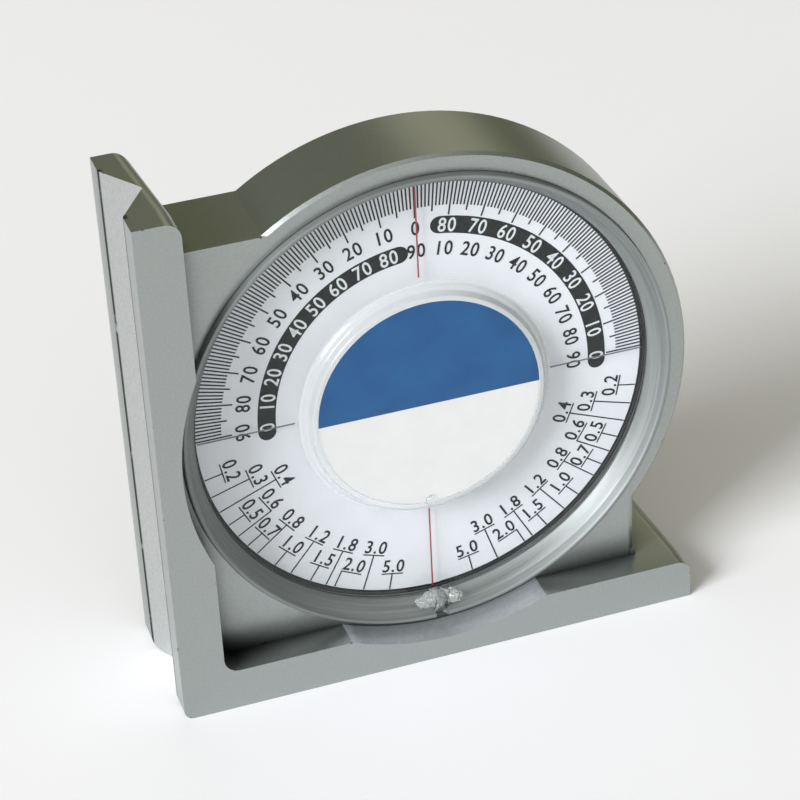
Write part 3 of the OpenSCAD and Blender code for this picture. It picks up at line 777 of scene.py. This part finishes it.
# One figure, its middle at a clock place, its top outwards or inwards
def makeFigure(words, degrees, radius, inwards=False, slide=0.0):
    height = figures["height"]
    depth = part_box("dial_figure_bands")[0].y
    bpy.ops.object.text_add()
    piece = bpy.context.object
    piece.data.body = words
    piece.data.size = height * figures["textScale"]
    piece.data.align_x = "CENTER"
    piece.data.align_y = "BOTTOM_BASELINE"
    piece.data.extrude = figures["ink"] / 2
    piece.data.offset = figures["boldness"] * height
    piece.data.space_character = figures["spacing"]
    piece.data.resolution_u = figures["curveSteps"]
    bpy.ops.object.convert(target="MESH")
    turn = degrees + (180 if inwards else 0)
    base = radius + height / 2 if inwards else radius - height / 2
    along = Vector((math.cos(math.radians(degrees)), 0, -math.sin(math.radians(degrees))))
    place = Matrix.Translation(clockPoint(degrees, base, depth - figures["ink"] / 2) + slide * along)
    place = place @ Matrix.Rotation(math.radians(turn), 4, "Y") @ Matrix.Rotation(math.radians(90), 4, "X")
    piece.matrix_world = place @ Matrix.Diagonal((figures["squeeze"], 1, 1, 1))
    return piece


def joinFigures(pieces, name, finish):
    selectOnly(*pieces)
    bpy.ops.object.join()
    joined = bpy.context.object
    joined.name = name
    settle(joined)
    coat(joined, finish)
    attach(joined, "dial")


def makeFigures():
    outer, inner = figures["outerRadius"], figures["innerRadius"]
    dark = [makeFigure("0", 0, outer), makeFigure("90", 0, inner)]
    light = []
    for angle in range(10, 100, 10):
        dark.append(makeFigure(str(angle), -angle, outer))
        dark.append(makeFigure(str(angle), angle, inner))
        light.append(makeFigure(str(90 - angle), angle, outer))
        light.append(makeFigure(str(90 - angle), -angle, inner))
    for slopes, barRadius in zip(figures["slopeRows"], figures["slopeRadii"]):
        middle = barRadius - figures["slopeGap"] - figures["height"] / 2
        for slope in slopes:
            spread = math.degrees(math.atan(1 / slope))
            slide = figures["slopeSlides"].get(slope, 0)
            for side in (-1, 1):
                turned = 180 + side * spread
                dark.append(makeFigure("%.1f" % slope, turned, middle, True, side * slide))
    joinFigures(dark, "dial_figures_dark", "ink")
    joinFigures(light, "dial_figures_light", "whiteInk")


makeFigures()
print("figures printed")


glueBead = {
    "halfSize": (mm(4.8), mm(1.8), mm(1.6)),
    "subdivisions": 6,
    "sink": mm(0.4),  # of its middle, from the front of the rim's slope
    "rise": mm(1.5),  # of its middle over the plug's
    "lump": mm(1.7), "lumpHeight": mm(2.0), "ripple": mm(0.8), "rippleHeight": mm(0.25),
    "film": mm(0.03),  # between the glue and the rim
}


# A lumpy bead pressed on to the rim round the plug
def makeGlue():
    hole = window["plugHole"]
    radius, depth = hole["from"]
    height = dialAxis.z - mm(radius) + glueBead["rise"]
    middle = Vector((dialAxis.x, cadLow.y + mm(depth) - glueBead["sink"], height))
    bpy.ops.object.select_all(action="DESELECT")
    bpy.ops.mesh.primitive_ico_sphere_add(subdivisions=glueBead["subdivisions"], radius=1, location=middle)
    piece = bpy.context.object
    piece.name = "glue_bead"
    piece.scale = glueBead["halfSize"]
    bpy.ops.object.transform_apply(location=True, rotation=True, scale=True)
    for name in ("lump", "ripple"):
        clouds = bpy.data.textures.new(name, "CLOUDS")
        clouds.noise_scale = glueBead[name]
        push = piece.modifiers.new(name, "DISPLACE")
        push.texture = clouds
        push.texture_coords = "LOCAL"
        push.strength = glueBead[name + "Height"]
        push.mid_level = 0.5
    press = piece.modifiers.new("pressed", "SHRINKWRAP")
    press.target = windowPiece
    press.wrap_method = "NEAREST_SURFACEPOINT"
    press.wrap_mode = "OUTSIDE"
    press.offset = glueBead["film"]
    settle(piece)
    bpy.ops.object.shade_smooth()
    coat(piece, "glue")
    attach(piece, "housing")
    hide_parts("filler_sealant")


makeGlue()
print("glue made")


studio = {
    "floor": {"size": 1.6, "drop": mm(0.05), "colour": "F4F5F7", "roughness": 0.8},
    "key": {"place": (-5.8, -2.85, 3.5), "aim": (0, 0, 0.05), "size": 3.3, "power": 690, "colour": "F8F8FC"},
    "backdrop": "EDEDEB",  # round the floor, up to its far edge
    # Shades that follow upwards, each with the upward part of a direction where it starts, and is whole
    "shades": (
        {"colour": "636649", "from": (-0.16, -0.08)},  # dull olive, which the gauge's top faces mirror
        {"colour": "BDB3A8", "from": (0.66, 0.95)},  # pale overhead
    ),
    # Light panels, each with the cosines from its middle where it starts, and is whole
    "panels": (
        {"towards": (0.4, 0.833, 0.38), "colour": "DAD5B8", "cosines": (0.97, 0.994)},  # narrow, behind
        {"towards": (-0.4, -0.9, 0.3), "colour": "E8E9EA", "cosines": (0.25, 0.9)},  # wide, in front
    ),
}


def makeFloor(paper):
    bpy.ops.mesh.primitive_plane_add(size=paper["size"], location=(0, 0, -paper["drop"]))
    floor = bpy.context.object
    floor.name = "studioFloor"
    material, tree = startMaterial("studioPaper")
    shader = addNode(tree, "ShaderNodeBsdfPrincipled", {
        "Base Color": linear(paper["colour"]), "Roughness": paper["roughness"],
    })
    addNode(tree, "ShaderNodeOutputMaterial", None, {"Surface": shader.outputs[0]})
    floor.data.materials.append(material)


def makeLamp(name, lamp):
    place = Vector(lamp["place"])
    aim = (Vector(lamp["aim"]) - place).to_track_quat("-Z", "Y")
    bpy.ops.object.light_add(type="AREA", location=place, rotation=aim.to_euler())
    light = bpy.context.object
    light.name = name
    light.data.size = lamp["size"]
    light.data.energy = lamp["power"]
    light.data.color = linear(lamp["colour"])[:3]


# What the lacquer mirrors: backdrop, the shades above it, and the light panels
def makeWorld():
    world = bpy.data.worlds.new("studioWorld")
    bpy.context.scene.world = world
    world.use_nodes = True
    tree = world.node_tree
    tree.nodes.clear()
    direction = addNode(tree, "ShaderNodeTexCoord").outputs["Generated"]
    upward = addNode(tree, "ShaderNodeSeparateXYZ", None, {"Vector": direction}).outputs["Z"]
    layers = [(upward, shade["from"], shade["colour"]) for shade in studio["shades"]]
    for panel in studio["panels"]:
        nearness = addNode(tree, "ShaderNodeVectorMath", {
            "operation": "DOT_PRODUCT", 1: Vector(panel["towards"]).normalized(),
        }, {0: direction})
        layers.append((nearness.outputs["Value"], panel["cosines"], panel["colour"]))
    below = addNode(tree, "ShaderNodeBackground", {"Color": linear(studio["backdrop"])})
    for value, (start, end), hexCode in layers:
        share = addNode(tree, "ShaderNodeMapRange", {
            "interpolation_type": "SMOOTHSTEP", "From Min": start, "From Max": end,
        }, {"Value": value})
        above = addNode(tree, "ShaderNodeBackground", {"Color": linear(hexCode)})
        below = addNode(tree, "ShaderNodeMixShader", None, {
            "Fac": share.outputs[0], 1: below.outputs[0], 2: above.outputs[0],
        })
    addNode(tree, "ShaderNodeOutputWorld", None, {"Surface": below.outputs[0]})


makeFloor(studio["floor"])
makeLamp("keyLamp", studio["key"])
makeWorld()
bpy.context.scene.view_settings.view_transform = "Standard"
print("studio lit")
